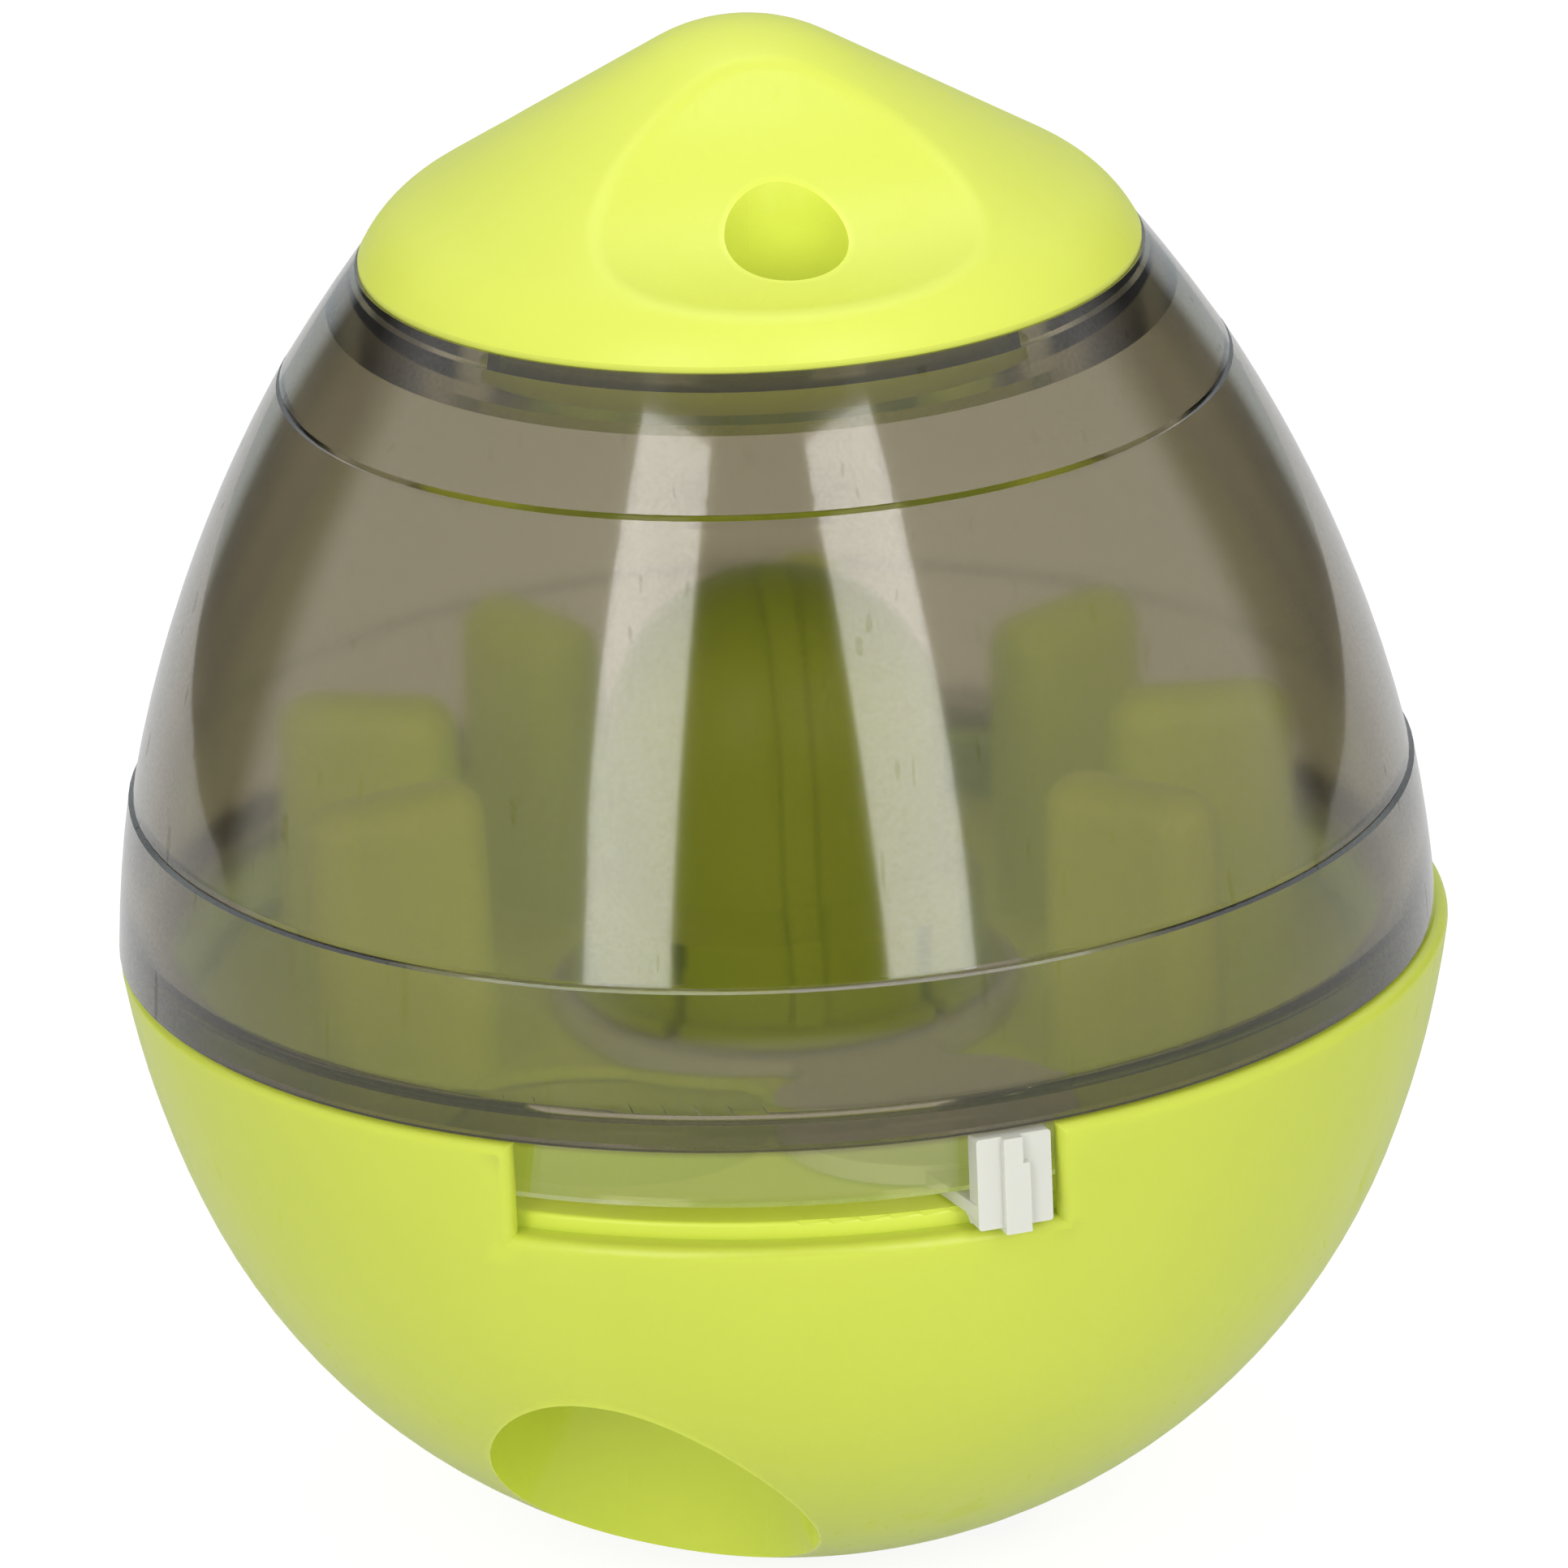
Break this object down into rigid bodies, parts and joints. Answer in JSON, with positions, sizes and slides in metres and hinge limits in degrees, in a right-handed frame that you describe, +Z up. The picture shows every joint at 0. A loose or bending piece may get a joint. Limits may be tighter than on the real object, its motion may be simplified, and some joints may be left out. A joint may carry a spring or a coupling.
{
  "type": "treat ball",
  "caption": "Self-righting treat ball: weighted round bowl, smoked see-through dome over a maze tray, twist-off cap with finger dishes, and a sliding lever that narrows the treat outlet.",
  "frame": {"origin": "centre of the flat that the ball stands on", "axes": "+Z up through the cap, -Y towards the front with the lever notch, +X to the front's right"},
  "size_m": [0.1164, 0.1158, 0.1376],
  "materials": {
    "lime_plastic": "semi-gloss",
    "smoked_plastic": "clear, smoke-tinted, polished",
    "white_plastic": "satin",
    "weight_iron": "as cast",
    "screw_steel": "zinc plated"
  },
  "bodies": {
    "base": {"base_bowl": "lime_plastic", "counterweight": "weight_iron", "weight_screws": "screw_steel", "maze_tray": "lime_plastic", "case_screws": "screw_steel", "centre_pillar": "lime_plastic"},
    "shutter": {"portion_shutter": "white_plastic"},
    "dome": {"dome": "smoked_plastic"},
    "cap": {"top_cap": "lime_plastic"}
  },
  "joints": [
    {"name": "shutter_swing", "type": "hinge", "parent": "base", "child": "shutter", "pos_m": [0, 0, 0.0479], "axis": [0, 0, 1], "range_deg": [-38, 0]},
    {"name": "dome_turn", "type": "hinge", "parent": "base", "child": "dome", "pos_m": [-0.0006, 0, 0.0553], "axis": [0, 0, 1], "range_deg": [0, 25]},
    {"name": "cap_turn", "type": "hinge", "parent": "dome", "child": "cap", "pos_m": [-0.0006, 0, 0.117], "axis": [0, 0, 1], "range_deg": [0, 90]}
  ]
}
